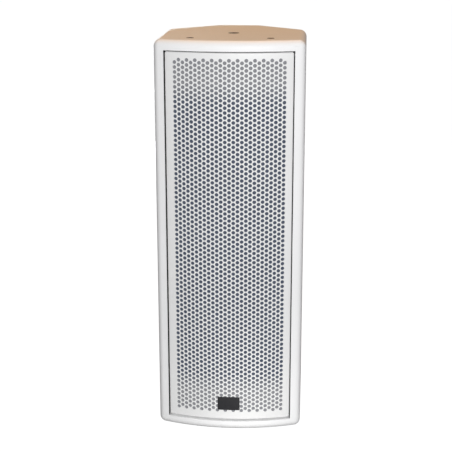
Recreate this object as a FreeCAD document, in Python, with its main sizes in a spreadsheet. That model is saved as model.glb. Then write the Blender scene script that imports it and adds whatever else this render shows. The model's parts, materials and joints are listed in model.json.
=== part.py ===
"""Two-way column loudspeaker cabinet with twin woofers, a central horn and a rear input plate.

Frame: millimetres, +Z up, the curved front faces -Y, origin at the centre of the base.
"""
import FreeCAD, Part
import math
import operator
import os

import Sketcher

Vector = FreeCAD.Vector

DIMENSIONS = {
    # enclosure
    "cab_width": 246, "cab_depth": 288, "cab_height": 671, "front_radius": 320,
    "edge_round": 12, "wall": 17, "chamfer_run": 83,
    # grille, its foam and the blank badge
    "grille_recess": 4, "grille_radius": 318, "grille_gap": 1.75, "grille_sheet": 1.2,
    "foam_thick": 3, "foam_inset": 3, "badge_width": 38, "badge_height": 24,
    "badge_thick": 1.2, "badge_rise": 48.5, "grille_tab": 12,
    "tab_root": 0.5, "magnet_disc": 4.4, "magnet_seat": 4.5, "magnet_deep": 4,
    # front baffle and braces
    "baffle_depth": 36, "baffle_thick": 18, "brace_thick": 15, "brace_offset": 77,
    "brace_window_half": 80, "brace_window_rear": 100, "brace_rail": 15,
    # woofers
    "woofer_offset": 156, "woofer_cutout": 73, "flange_radius": 83, "flange_thick": 5,
    "screw_circle": 78.5, "screw_shaft": 1.9, "screw_hole": 2, "screw_head": 3.6,
    "screw_head_thick": 2, "screw_length": 20, "gasket_proud": 2,
    "pole_radius": 18.4, "coil_inner": 19.2, "coil_outer": 19.7, "winding_outer": 20.4,
    "cone_outer": 58, "surround_roll": 5,
    "motor_front": 56, "top_plate_thick": 6, "magnet_thick": 18, "back_plate_thick": 6,
    "magnet_radius": 52, "plate_radius": 48,
    "frame_mouth": 69, "frame_slack": 0.5, "frame_shoulder": 6, "frame_neck": 56,
    "frame_neck_front": 38, "frame_bore": 30, "frame_sheet": 3, "spider_seat": 44,
    "spider_seat_front": 36, "window_width": 34, "window_depth": 26, "window_height": 40,
    "window_front": 9, "window_reach": 45, "window_turn": 30,
    "clearance_front": 10, "clearance_length": 12, "gasket_inner": 74.5,
    "plate_bore": 21, "magnet_bore": 26, "coil_front": 23, "coil_overlap": 2,
    "cone_front": 5.5, "cone_thick": 1.3, "cap_half": 22, "cap_rim": 20.2, "cap_rise": 8,
    "cap_thick": 0.8, "surround_outer": 74, "surround_thick": 0.8,
    "spider_outer": 51, "spider_front": 35.2, "spider_wave": 1.6, "spider_thick": 0.7,
    "tag_start": 42, "tag_length": 12, "tag_rise": 56.2, "tag_half": 12, "tag_thick": 2.8,
    "tab_spread": 7, "tab_half": 2.4, "tab_length": 8, "tab_thick": 0.8,
    # horn and compression driver
    "horn_width": 180, "horn_height": 138, "horn_flange": 4, "horn_lip": 8,
    "horn_depth": 70, "throat": 25.4, "horn_wall": 3, "horn_screw_x": 83, "horn_screw_z": 62,
    "driver_radius": 46, "driver_plate": 10, "driver_magnet": 16, "driver_back": 6,
    "dome_radius": 22, "cap_radius": 40, "cap_depth": 16, "horn_corner": 6,
    "throat_flange": 38, "throat_flange_thick": 6, "hf_magnet_bore": 28, "hf_magnet_proud": 3,
    "plug_gap": 0.6, "plug_flare": 4, "plug_rear": 2, "dome_gap": 1, "dome_rise": 7,
    "dome_thick": 0.6, "dome_former_in": 0.4, "dome_former_out": 0.2, "dome_former": 4,
    "hf_ring_outer": 30, "hf_ring_start": 0.3, "hf_ring_thick": 0.5, "hf_cap_wall": 3,
    "hf_cap_end": 2.5,
    # reflex ports
    "port_offset": 272, "port_spread": 52, "port_radius": 26, "port_wall": 2,
    "port_length": 90, "port_lip": 4, "port_slack": 0.1,
    # crossover
    "board_width": 60, "board_height": 150, "board_thick": 1.6, "board_centre": 510,
    "standoff": 8, "post_radius": 3, "post_inset_x": 5, "post_inset_z": 6,
    "choke_radius": 15, "choke_bore": 6, "choke_height": 14, "can_radius": 6,
    "can_height": 24, "resistor_half": 4, "resistor_rise": 9, "resistor_length": 24,
    # rear input plate
    "plate_centre": 190, "plate_width": 62, "plate_height": 140, "plate_thick": 2,
    "plate_recess": 7, "plate_margin": 2, "gasket_thick": 1, "cutout_half_x": 22,
    "cutout_half_z": 54, "socket_offset": 24, "socket_bore": 10, "socket_shell": 12,
    "socket_boss": 4.3, "socket_depth": 20, "socket_flange_x": 26, "socket_flange_z": 31,
    "socket_lip": 2, "contact_circle": 7, "contact_half": 2.4, "contact_length": 7,
    "small_screw": 1.4, "small_hole": 1.5,
    "plate_screw_x": 5, "plate_screw_z": 6, "socket_screw": 3.4, "socket_slack": 0.1,
    "socket_floor": 3, "boss_floor": 2, "boss_sink": 1, "flange_bore": 6,
    "contact_thick": 0.8, "small_head": 2.6, "small_head_thick": 1.4, "small_length": 11,
    # threaded inserts
    "insert_length": 16, "insert_radius": 6.5, "insert_core": 3.4, "insert_x": 65.6,
    "insert_y": -95, "hoist_radius": 9.5, "hoist_core": 4.25, "hoist_y": -11,
    "insert_sink": 0.3,
    # gap between a moving piece and the soft part that follows it
    "soft_gap": 0.3,
    # wiring and lining
    "wire_radius": 1.5, "lining_thick": 18, "lining_gap": 2,
}

# horn flare: where its sections lie, how fast it opens and how square its mouth is
FLARE_STATIONS = (0, 0.3, 0.65, 1)
FLARE_POWER = 1.35
MOUTH_SQUARENESS = 0.3
MOUTH_MARGIN = 5

# crossover parts, from the middle of the board: across and up
CHOKE_PLACES = ((-12, 48), (12, 12), (-12, -48))
CAPACITOR_PLACES = ((16, 54), (-18, 8), (16, -30), (16, -54))
RESISTOR_PLACES = ((-18, -26), (0, -26))

doc = FreeCAD.newDocument("column_loudspeaker")
sheet = doc.addObject("Spreadsheet::Sheet", "dims")
for row, (alias, number) in enumerate(DIMENSIONS.items(), start=1):
    sheet.set(f"A{row}", alias)
    sheet.set(f"B{row}", str(number))
    sheet.setAlias(f"B{row}", alias)
doc.recompute()

nodes = []


class Size:
    """A number together with the spreadsheet expression that gives it."""

    def __init__(self, value, text):
        self.value = value
        self.text = text

    def __add__(self, other):
        return combined(self, "+", other)

    def __radd__(self, other):
        return combined(other, "+", self)

    def __sub__(self, other):
        return combined(self, "-", other)

    def __rsub__(self, other):
        return combined(other, "-", self)

    def __mul__(self, other):
        return combined(self, "*", other)

    def __rmul__(self, other):
        return combined(other, "*", self)

    def __truediv__(self, other):
        return combined(self, "/", other)

    def __neg__(self):
        return combined(-1, "*", self)


OPERATIONS = {"+": operator.add, "-": operator.sub, "*": operator.mul, "/": operator.truediv}


def as_size(term):
    """Turn a bare number into a Size."""
    if isinstance(term, Size):
        return term
    return Size(float(term), f"{float(term):.6f}")


def combined(left, sign, right):
    """Join two terms into one Size."""
    left = as_size(left)
    right = as_size(right)
    value = OPERATIONS[sign](left.value, right.value)
    return Size(value, f"({left.text} {sign} {right.text})")


def root(term):
    """Square root of a Size."""
    return Size(math.sqrt(term.value), f"sqrt({term.text})")


def cell(alias):
    """The Size held by one spreadsheet cell."""
    return Size(float(sheet.get(alias)), f"dims.{alias}")


def bind(item, prop, term):
    """Tie a property of an object to the spreadsheet."""
    item.setExpression(prop, as_size(term).text)


def move(item, x, y, z):
    """Place an object at a position worked out from the spreadsheet."""
    for axis, term in zip("xyz", (x, y, z)):
        bind(item, f"Placement.Base.{axis}", term)


def node(label, item):
    """Register a finished sub-part under its own label."""
    item.Label = label
    nodes.append(item)
    return item


def new_body(name):
    return doc.addObject("PartDesign::Body", name)


def new_sketch(body, role, offset=0):
    """A sketch on one of the body's origin planes, moved along that plane's normal."""
    sketch = body.newObject("Sketcher::SketchObject", f"{body.Name}_sketch")
    plane = next(item for item in body.Origin.OriginFeatures if item.Role == role)
    sketch.AttachmentSupport = [(plane, "")]
    sketch.MapMode = "FlatFace"
    bind(sketch, "AttachmentOffset.Base.z", offset)
    return sketch


def hold(sketch, kind, references, term):
    """Add a dimension to a sketch and tie it to the spreadsheet."""
    index = sketch.addConstraint(Sketcher.Constraint(kind, *references, term.value))
    name = f"size_{index}"
    sketch.renameConstraint(index, name)
    bind(sketch, f"Constraints.{name}", term)


def pin(sketch, geometry, end, x, y):
    """Fix one point of a sketch by its two coordinates."""
    for kind, axis, term in (("DistanceX", -2, as_size(x)), ("DistanceY", -1, as_size(y))):
        if term.value == 0:
            sketch.addConstraint(Sketcher.Constraint("PointOnObject", geometry, end, axis))
        else:
            hold(sketch, kind, (-1, 1, geometry, end), term)


def outline(sketch, points, arcs=None):
    """Draw a closed outline; arcs maps an edge's index to (centre, radius, anticlockwise)."""
    arcs = arcs or {}
    corners = [(as_size(x), as_size(y)) for x, y in points]
    first = sketch.GeometryCount
    ends = []
    for index, (x, y) in enumerate(corners):
        next_x, next_y = corners[(index + 1) % len(corners)]
        here = Vector(x.value, y.value, 0)
        there = Vector(next_x.value, next_y.value, 0)
        if index in arcs:
            (centre_x, centre_y), radius, anticlockwise = arcs[index]
            centre = Vector(as_size(centre_x).value, as_size(centre_y).value, 0)
            start, stop = (here, there) if anticlockwise else (there, here)
            angles = [math.atan2(spot.y - centre.y, spot.x - centre.x) for spot in (start, stop)]
            circle = Part.Circle(centre, Vector(0, 0, 1), as_size(radius).value)
            curve = sketch.addGeometry(Part.ArcOfCircle(circle, *angles), False)
            hold(sketch, "DistanceY", (-1, 1, curve, 3), as_size(centre_y))
            ends.append((1, 2) if anticlockwise else (2, 1))
        else:
            sketch.addGeometry(Part.LineSegment(here, there), False)
            ends.append((1, 2))
    for index, (x, y) in enumerate(corners):
        after = (index + 1) % len(corners)
        joint = Sketcher.Constraint(
            "Coincident", first + index, ends[index][1], first + after, ends[after][0])
        sketch.addConstraint(joint)
        pin(sketch, first + index, ends[index][0], x, y)


def circle(sketch, x, y, radius):
    """Draw a full circle."""
    x, y, radius = as_size(x), as_size(y), as_size(radius)
    shape = Part.Circle(Vector(x.value, y.value, 0), Vector(0, 0, 1), radius.value)
    index = sketch.addGeometry(shape, False)
    hold(sketch, "Radius", (index,), radius)
    pin(sketch, index, 3, x, y)


def rectangle(sketch, left, right, low, high):
    outline(sketch, [(left, low), (right, low), (right, high), (left, high)])


def pad(body, sketch, length, backwards=False):
    """Add material to a body along its sketch's normal."""
    feature = body.newObject("PartDesign::Pad", f"{body.Name}_pad")
    feature.Profile = sketch
    feature.Reversed = backwards
    bind(feature, "Length", length)
    doc.recompute()
    return feature


def pocket(body, sketch, length, backwards=False):
    """Remove material from a body, and make sure that some really went."""
    before = body.Shape.Volume
    feature = body.newObject("PartDesign::Pocket", f"{body.Name}_pocket")
    feature.Profile = sketch
    feature.Reversed = backwards
    bind(feature, "Length", length)
    doc.recompute()
    if not body.Shape.Volume < before - 1e-3:
        raise RuntimeError(f"{body.Name}: the pocket removed nothing")
    return feature


def turned(label, profile, y, z, arcs=None, x=0):
    """A body turned about an axis along Y; the profile holds (radius, y) points."""
    body = new_body(label)
    sketch = new_sketch(body, "XY_Plane")
    outline(sketch, profile, arcs)
    feature = body.newObject("PartDesign::Revolution", f"{label}_turn")
    feature.Profile = sketch
    feature.ReferenceAxis = (sketch, ["V_Axis"])
    feature.Angle = 360
    move(body, x, y, z)
    doc.recompute()
    return body


def ring_profile(inner, outer, start, stop):
    return [(inner, start), (outer, start), (outer, stop), (inner, stop)]


def cylinder(name, radius, length, x, y, z, direction="Y"):
    """A Part cylinder along Y, Z or its negatives from the given centre of its first end."""
    item = doc.addObject("Part::Cylinder", name)
    bind(item, "Radius", radius)
    bind(item, "Height", length)
    turns = {"Y": -90, "-Y": 90, "Z": 0, "-Z": 180}
    item.Placement = FreeCAD.Placement(Vector(), FreeCAD.Rotation(Vector(1, 0, 0), turns[direction]))
    move(item, x, y, z)
    return item


def block(name, x, y, z):
    """A Part box between two limits along each axis."""
    item = doc.addObject("Part::Box", name)
    for prop, (low, high) in zip(("Length", "Width", "Height"), (x, y, z)):
        bind(item, prop, high - low)
    move(item, as_size(x[0]), as_size(y[0]), as_size(z[0]))
    return item


def fused(name, items):
    """Join items into one; a single item is returned as it is."""
    if len(items) == 1:
        return items[0]
    item = doc.addObject("Part::MultiFuse", name)
    item.Shapes = items
    return item


def cut(name, base, tool):
    item = doc.addObject("Part::Cut", name)
    item.Base = base
    item.Tool = tool
    return item


# ---- places shared by several sub-parts ----

half_width = cell("cab_width") / 2
half_depth = cell("cab_depth") / 2
front = -half_depth
rear = half_depth
middle = cell("cab_height") / 2
wall = cell("wall")
inner_half = half_width - wall
floor_top = wall
ceiling = cell("cab_height") - wall
baffle_front = front + cell("baffle_depth")
baffle_rear = baffle_front + cell("baffle_thick")
rear_inside = rear - wall
chamfer_sum = half_width + rear - cell("chamfer_run")
inner_sum = chamfer_sum - wall * math.sqrt(2)
inner_chamfer_start = inner_sum - inner_half
inner_rear_half = inner_sum - rear_inside
grille_front = front + cell("grille_recess")
grille_half = inner_half - cell("grille_gap")
grille_low = floor_top + cell("grille_gap")
grille_high = ceiling - cell("grille_gap")
plate_face = rear - cell("plate_recess") + cell("gasket_thick") + cell("plate_thick")
woofer_places = {
    "upper": middle + cell("woofer_offset"),
    "lower": middle - cell("woofer_offset"),
}


def arc_depth(radius, apex, half):
    """How far back an arc about a centre behind its apex lies at a given half width."""
    return apex + radius - root(radius * radius - half * half)


def bend_radius(half, rise):
    """Radius of the arc that rises by a given amount over a half width."""
    return (as_size(half) * half + as_size(rise) * rise) / (as_size(rise) * 2)


def bow(radius, apex, half, base):
    """Outline with a bowed front edge and a straight back edge, and its arc."""
    corner = arc_depth(radius, apex, half)
    points = [(-half, corner), (half, corner), (half, base), (-half, base)]
    return points, {0: ((0, apex + radius), radius, True)}


# ---- enclosure ----

def enclosure_blank():
    """The whole glued box: bowed front edge, parallel sides, chamfered rear corners."""
    body = new_body("enclosure_blank")
    radius = cell("front_radius")
    corner = arc_depth(radius, front, half_width)
    chamfer_start = chamfer_sum - half_width
    rear_half = chamfer_sum - rear
    points = [
        (-half_width, corner), (half_width, corner), (half_width, chamfer_start),
        (rear_half, rear), (-rear_half, rear), (-half_width, chamfer_start),
    ]
    sketch = new_sketch(body, "XY_Plane")
    outline(sketch, points, {0: ((0, front + radius), radius, True)})
    solid = pad(body, sketch, cell("cab_height"))
    rounded = body.newObject("PartDesign::Fillet", "enclosure_rounding")
    rounded.Base = (solid, [f"Edge{index + 1}" for index in range(len(solid.Shape.Edges))])
    bind(rounded, "Radius", cell("edge_round"))
    doc.recompute()
    cavity = new_sketch(body, "XY_Plane", ceiling)
    mouth = front - cell("edge_round")
    outline(cavity, [
        (-inner_half, mouth), (inner_half, mouth), (inner_half, inner_chamfer_start),
        (inner_rear_half, rear_inside), (-inner_rear_half, rear_inside),
        (-inner_half, inner_chamfer_start),
    ])
    pocket(body, cavity, ceiling - floor_top)
    cut_rear_openings(body)
    cut_insert_holes(body)
    return body


def cut_rear_openings(body):
    """Recess, window and screw holes for the input plate."""
    centre = cell("plate_centre")
    recess = new_sketch(body, "XZ_Plane", -rear)
    recess_x = cell("plate_width") / 2 + cell("plate_margin")
    recess_z = cell("plate_height") / 2 + cell("plate_margin")
    rectangle(recess, -recess_x, recess_x, centre - recess_z, centre + recess_z)
    pocket(body, recess, cell("plate_recess"), backwards=True)
    window = new_sketch(body, "XZ_Plane", -rear)
    half_x = cell("cutout_half_x")
    half_z = cell("cutout_half_z")
    rectangle(window, -half_x, half_x, centre - half_z, centre + half_z)
    pocket(body, window, wall, backwards=True)
    screws = new_sketch(body, "XZ_Plane", cell("plate_recess") - rear)
    for x, z in input_plate_screw_places():
        circle(screws, x, z, cell("small_hole"))
    pocket(body, screws, wall - cell("plate_recess"), backwards=True)


def cut_insert_holes(body):
    """Holes right through the top for the threaded inserts."""
    holes = new_sketch(body, "XY_Plane", cell("cab_height"))
    for side in (-1, 1):
        circle(holes, side * cell("insert_x"), cell("insert_y"), cell("insert_radius"))
    circle(holes, 0, cell("hoist_y"), cell("hoist_radius"))
    pocket(body, holes, wall)


def region(name, points, low, high):
    """A prism that marks out one panel of the enclosure."""
    body = new_body(name)
    plan = new_sketch(body, "XY_Plane", low)
    outline(plan, points)
    pad(body, plan, high - low)
    return body


def enclosure_panels(blank):
    """Divide the enclosure into its glued panels, mitred at the rear corners."""
    past = cell("cab_depth")
    mitre = math.tan(math.radians(22.5))
    side_end = inner_chamfer_start + (past - inner_half) * mitre
    rear_end = inner_rear_half + (past - rear_inside) * mitre
    everything = [(-past, -past), (past, -past), (past, past), (-past, past)]
    regions = {
        "top_panel": (everything, ceiling, cell("cab_height")),
        "base_panel": (everything, as_size(0), floor_top),
        "rear_panel": ([(-inner_rear_half, rear_inside), (inner_rear_half, rear_inside),
                        (rear_end, past), (-rear_end, past)], floor_top, ceiling),
    }
    for name, side in (("left", -1), ("right", 1)):
        regions[f"{name}_side_panel"] = ([
            (side * inner_half, -past), (side * past, -past), (side * past, side_end),
            (side * inner_half, inner_chamfer_start)], floor_top, ceiling)
        regions[f"{name}_rear_corner"] = ([
            (side * inner_half, inner_chamfer_start), (side * past, side_end),
            (side * past, past), (side * rear_end, past),
            (side * inner_rear_half, rear_inside)], floor_top, ceiling)
    for label, (points, low, high) in regions.items():
        common = doc.addObject("Part::Common", f"{label}_common")
        common.Base = blank
        common.Tool = region(f"{label}_region", points, low, high)
        node(label, common)


def threaded_inserts():
    """Steel inserts sunk into the top: a front pair for rigging and a rear hoist point."""
    kinds = {
        "rigging_inserts": ([(side * cell("insert_x"), cell("insert_y")) for side in (-1, 1)],
                            cell("insert_radius"), cell("insert_core")),
        "hoist_insert": ([(0, cell("hoist_y"))], cell("hoist_radius"), cell("hoist_core")),
    }
    length = cell("insert_length")
    level = cell("cab_height") - cell("insert_sink")
    for label, (places, outer, core) in kinds.items():
        sleeves = []
        bores = []
        for index, (x, y) in enumerate(places):
            name = f"{label}_{index}"
            sleeves.append(cylinder(name, outer, length, x, y, level, "-Z"))
            bores.append(cylinder(f"{name}_bore", core, length, x, y, level, "-Z"))
        node(label, cut(f"{label}_cut", fused(f"{label}_sleeves", sleeves),
                        fused(f"{label}_bores", bores)))


def screw_circle_places(centre):
    """Eight screw centres round one woofer."""
    places = []
    for step in range(8):
        angle = math.radians(22.5 + 45 * step)
        reach = cell("screw_circle")
        places.append((reach * math.cos(angle), centre + reach * math.sin(angle)))
    return places


def horn_screw_places():
    """Six screw centres round the horn's flange."""
    x = cell("horn_screw_x")
    z = cell("horn_screw_z")
    return [(side * x, middle + level * z) for side in (-1, 1) for level in (-1, 0, 1)]


def port_places():
    """Centres of the four reflex ports, two above and two below the drivers."""
    spread = cell("port_spread")
    reach = cell("port_offset")
    return {
        "upper_left": (-spread, middle + reach), "upper_right": (spread, middle + reach),
        "lower_left": (-spread, middle - reach), "lower_right": (spread, middle - reach),
    }


def magnet_places():
    """Centres of the discs that hold the grille, under the tabs inside its rim."""
    x = grille_half - cell("grille_sheet") - cell("grille_tab") / 2
    reach = middle - floor_top
    return [(side * x, middle + reach * share) for side in (-1, 1) for share in (-0.85, 0, 0.85)]


def front_baffle():
    """Plywood board that carries the drivers, the horn and the ports."""
    body = new_body("front_baffle")
    board = new_sketch(body, "XZ_Plane")
    rectangle(board, -inner_half, inner_half, floor_top, ceiling)
    pad(body, board, cell("baffle_thick"), backwards=True)
    openings = new_sketch(body, "XZ_Plane")
    lip = cell("horn_lip")
    horn_x = cell("horn_width") / 2 - lip * 2
    horn_z = cell("horn_height") / 2 - lip * 2
    rectangle(openings, -horn_x, horn_x, middle - horn_z, middle + horn_z)
    for centre in woofer_places.values():
        circle(openings, 0, centre, cell("woofer_cutout"))
        for x, z in screw_circle_places(centre):
            circle(openings, x, z, cell("screw_hole"))
    for x, z in horn_screw_places():
        circle(openings, x, z, cell("screw_hole"))
    for x, z in port_places().values():
        circle(openings, x, z, cell("port_radius"))
    pocket(body, openings, cell("baffle_thick"))
    seats = new_sketch(body, "XZ_Plane")
    for x, z in magnet_places():
        circle(seats, x, z, cell("magnet_seat"))
    pocket(body, seats, cell("magnet_deep"))
    move(body, 0, baffle_front, 0)
    node("front_baffle", body)


def brace(label, centre):
    """Window brace between the baffle and the rear walls."""
    body = new_body(label)
    thick = cell("brace_thick")
    plan = new_sketch(body, "XY_Plane", centre - thick / 2)
    outline(plan, [
        (-inner_half, baffle_rear), (inner_half, baffle_rear),
        (inner_half, inner_chamfer_start), (inner_rear_half, rear_inside),
        (-inner_rear_half, rear_inside), (-inner_half, inner_chamfer_start),
    ])
    pad(body, plan, thick)
    window = new_sketch(body, "XY_Plane", centre + thick / 2)
    half = cell("brace_window_half")
    start = baffle_rear + cell("brace_rail")
    stop = cell("brace_window_rear")
    turn = inner_chamfer_start - cell("brace_rail")
    tail = half - (stop - turn)
    outline(window, [(-half, start), (half, start), (half, turn), (tail, stop), (-tail, stop),
                     (-half, turn)])
    pocket(body, window, thick)
    node(label, body)


# ---- grille ----

def grille():
    """Bowed sheet-steel front with a turned-back rim and six seating tabs."""
    body = new_body("grille_skin")
    sheet_thick = cell("grille_sheet")
    radius = cell("grille_radius")
    outer = new_sketch(body, "XY_Plane", grille_low)
    outline(outer, *bow(radius, grille_front, grille_half, baffle_front))
    pad(body, outer, grille_high - grille_low)
    inner = new_sketch(body, "XY_Plane", grille_high - sheet_thick)
    hollow = bow(radius - sheet_thick, grille_front + sheet_thick, grille_half - sheet_thick,
                 baffle_front)
    outline(inner, *hollow)
    pocket(body, inner, grille_high - grille_low - sheet_thick * 2)
    tabs = []
    reach = cell("grille_tab")
    for index, (x, z) in enumerate(magnet_places()):
        side = -1 if x.value < 0 else 1
        root_x = x + (reach / 2 + cell("tab_root")) * side
        limits = sorted((x - reach / 2 * side, root_x), key=lambda size: size.value)
        tabs.append(block(f"grille_tab_{index}", limits, (baffle_front - sheet_thick, baffle_front),
                          (z - reach / 2, z + reach / 2)))
    node("grille", fused("grille_with_tabs", [body] + tabs))


def grille_magnets():
    """Disc magnets let into the baffle under the grille's tabs."""
    discs = []
    for index, (x, z) in enumerate(magnet_places()):
        discs.append(cylinder(f"disc_{index}", cell("magnet_disc"), cell("magnet_deep"),
                              x, baffle_front, z))
    node("grille_magnets", fused("grille_magnet_set", discs))


def bowed_plate(label, radius, apex, half, low, high, thick):
    """A plate of even thickness that follows the grille's bow."""
    body = new_body(label)
    sketch = new_sketch(body, "XY_Plane", low)
    outer = arc_depth(radius, apex, half)
    inner = arc_depth(radius - thick, apex + thick, half)
    centre = (0, apex + radius)
    outline(sketch, [(-half, outer), (half, outer), (half, inner), (-half, inner)],
            {0: (centre, radius, True), 2: (centre, radius - thick, False)})
    pad(body, sketch, high - low)
    node(label, body)


# ---- woofers ----

def woofer(side, centre):
    """One 165 mm woofer, front to back, about an axis along Y through its centre."""
    def part(name, profile, arcs=None):
        label = f"{side}_woofer_{name}"
        return node(label, turned(label, profile, baffle_front, centre, arcs))

    screws = [
        cylinder(f"{side}_clear_{index}", cell("screw_hole"), cell("clearance_length"),
                 x, baffle_front - cell("clearance_front"), z)
        for index, (x, z) in enumerate(screw_circle_places(centre))]
    clearance = fused(f"{side}_screw_clearance", screws)

    flange = cell("flange_radius")
    rim = cell("woofer_cutout") - cell("frame_slack")
    mouth = cell("frame_mouth")
    neck = cell("frame_neck")
    sheet_thick = cell("frame_sheet")
    shoulder = cell("frame_shoulder")
    motor = cell("motor_front")
    bore = cell("frame_bore")
    seat = cell("spider_seat")
    seat_front = cell("spider_seat_front")
    seat_rear = seat_front + sheet_thick
    lip = -cell("flange_thick")
    # stepped and tapered frame with a ledge for the spider
    frame = turned(f"{side}_frame", [
        (mouth, lip), (flange, lip), (flange, 0), (rim, 0), (rim, shoulder),
        (neck, cell("frame_neck_front")), (neck, motor), (bore, motor),
        (bore, motor - sheet_thick), (neck - sheet_thick, motor - sheet_thick),
        (neck - sheet_thick, seat_rear), (seat, seat_rear), (seat, seat_front),
        (neck - sheet_thick, seat_front), (mouth, shoulder),
    ], baffle_front, centre)
    windows = []
    for index in range(6):
        window = doc.addObject("Part::Box", f"{side}_window_{index}")
        bind(window, "Length", cell("window_width"))
        bind(window, "Width", cell("window_depth"))
        bind(window, "Height", cell("window_height"))
        angle = cell("window_turn").value + 60 * index
        turn = FreeCAD.Rotation(Vector(0, 1, 0), angle)
        window.Placement = FreeCAD.Placement(Vector(), turn)
        start = Vector(-cell("window_width").value / 2, cell("window_front").value,
                       cell("window_reach").value)
        corner = turn.multVec(start)
        move(window, corner.x, baffle_front + corner.y, centre + corner.z)
        windows.append(window)
    tools = fused(f"{side}_frame_tools", windows + [clearance])
    node(f"{side}_woofer_basket", cut(f"{side}_basket_cut", frame, tools))

    gasket = ring_profile(cell("gasket_inner"), flange - cell("frame_slack"),
                          lip - cell("gasket_proud"), lip)
    ring = turned(f"{side}_ring", gasket, baffle_front, centre)
    node(f"{side}_woofer_gasket", cut(f"{side}_gasket_cut", ring, clearance))

    plate_rear = motor + cell("top_plate_thick")
    magnet_rear = plate_rear + cell("magnet_thick")
    back = magnet_rear + cell("back_plate_thick")
    plate = cell("plate_radius")
    pole = cell("pole_radius")
    part("top_plate", ring_profile(cell("plate_bore"), plate, motor, plate_rear))
    part("magnet", ring_profile(cell("magnet_bore"), cell("magnet_radius"), plate_rear, magnet_rear))
    part("yoke", [(0, motor), (pole, motor), (pole, magnet_rear), (plate, magnet_rear),
                  (plate, back), (0, back)])

    coil = cell("coil_outer")
    coil_front = cell("coil_front")
    winding = cell("winding_outer")
    overlap = cell("coil_overlap")
    part("voice_coil", [
        (cell("coil_inner"), coil_front), (coil, coil_front), (coil, motor - overlap),
        (winding, motor - overlap), (winding, plate_rear + overlap),
        (cell("coil_inner"), plate_rear + overlap),
    ])
    cone = cell("cone_outer")
    cone_front = -cell("cone_front")
    thick = cell("cone_thick")
    part("cone", [(coil, coil_front), (cone, cone_front), (cone, cone_front + thick),
                  (coil, coil_front + thick + 0.1)])
    dust_cap(part)

    # half-round roll between the cone's edge and the frame
    far = cone + cell("surround_roll") * 2
    thin = cell("surround_thick")
    outer = cell("surround_outer")
    base = lip - thin
    edge = cone + cell("soft_gap")
    part("surround", [
        (edge, base), (far, base), (outer, base), (outer, lip), (far - thin, lip),
        (far - thin, base), (edge + thin, base), (edge + thin, lip), (edge, lip),
    ], {0: (((edge + far) / 2, base), (far - edge) / 2, True),
        5: (((edge + far) / 2, base), (far - edge) / 2 - thin, False)})

    # corrugated centring disc
    folds = 8
    inner = coil + cell("soft_gap")
    pitch = (cell("spider_outer") - inner) / folds
    front_edge = []
    for index in range(folds + 1):
        wave = cell("spider_wave") * (index % 2)
        front_edge.append((inner + pitch * index, cell("spider_front") - wave))
    rear_edge = [(x, y + cell("spider_thick")) for x, y in reversed(front_edge)]
    part("spider", front_edge + rear_edge)


def dust_cap(part):
    """Shallow domed cap over the middle of a cone."""
    half = cell("cap_half")
    rim = cell("cap_rim")
    rise = cell("cap_rise")
    thick = cell("cap_thick")
    bend = bend_radius(half, rise)
    crown = rim - rise
    part("dust_cap", [
        (0, crown), (half, rim), (half, rim + thick), (0, crown + thick),
    ], {0: ((0, crown + bend), bend, True),
        2: ((0, crown + thick + bend), bend, False)})


def woofer_terminals():
    """A tag board with two tabs on the frame of each woofer."""
    pieces = []
    start = baffle_front + cell("tag_start")
    stop = start + cell("tag_length")
    for side, centre in woofer_places.items():
        low = centre + cell("tag_rise")
        pieces.append(block(f"{side}_tag", (-cell("tag_half"), cell("tag_half")), (start, stop),
                            (low, low + cell("tag_thick"))))
        for hand in (-1, 1):
            middle_x = hand * cell("tab_spread")
            pieces.append(block(
                f"{side}_tab_{hand}", (middle_x - cell("tab_half"), middle_x + cell("tab_half")),
                (stop, stop + cell("tab_length")),
                (low + cell("tab_thick"), low + cell("tab_thick") * 2)))
    node("woofer_terminals", fused("terminal_set", pieces))


def driver_screws():
    """Identical pan-head screws through the woofer and horn flanges into the baffle."""
    seats = [(x, z, cell("flange_thick") + cell("gasket_proud"))
             for centre in woofer_places.values() for x, z in screw_circle_places(centre)]
    seats += [(x, z, cell("horn_flange")) for x, z in horn_screw_places()]
    pieces = []
    for index, (x, z, proud) in enumerate(seats):
        head_y = baffle_front - proud - cell("screw_head_thick")
        name = f"driver_screw_{index}"
        pieces.append(cylinder(name, cell("screw_head"), cell("screw_head_thick"), x, head_y, z))
        pieces.append(cylinder(f"{name}_shaft", cell("screw_shaft"), cell("screw_length"),
                               x, head_y, z))
    node("driver_screws", fused("driver_screw_set", pieces))


# ---- horn and compression driver ----

def rounded_wire(width, height, radius, y):
    """Closed rounded rectangle across Y, centred on the horn's axis."""
    edges = []
    corners = []
    for sign_x, sign_z, start in ((1, 1, 0), (-1, 1, 90), (-1, -1, 180), (1, -1, 270)):
        centre = Vector(sign_x * (width / 2 - radius), y, sign_z * (height / 2 - radius))
        spots = []
        for angle in (start, start + 45, start + 90):
            turn = math.radians(angle)
            spots.append(centre + Vector(math.cos(turn) * radius, 0, math.sin(turn) * radius))
        corners.append(spots)
    for index, spots in enumerate(corners):
        edges.append(Part.Arc(*spots).toShape())
        edges.append(Part.LineSegment(spots[2], corners[(index + 1) % 4][0]).toShape())
    return Part.Wire(edges)


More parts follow.
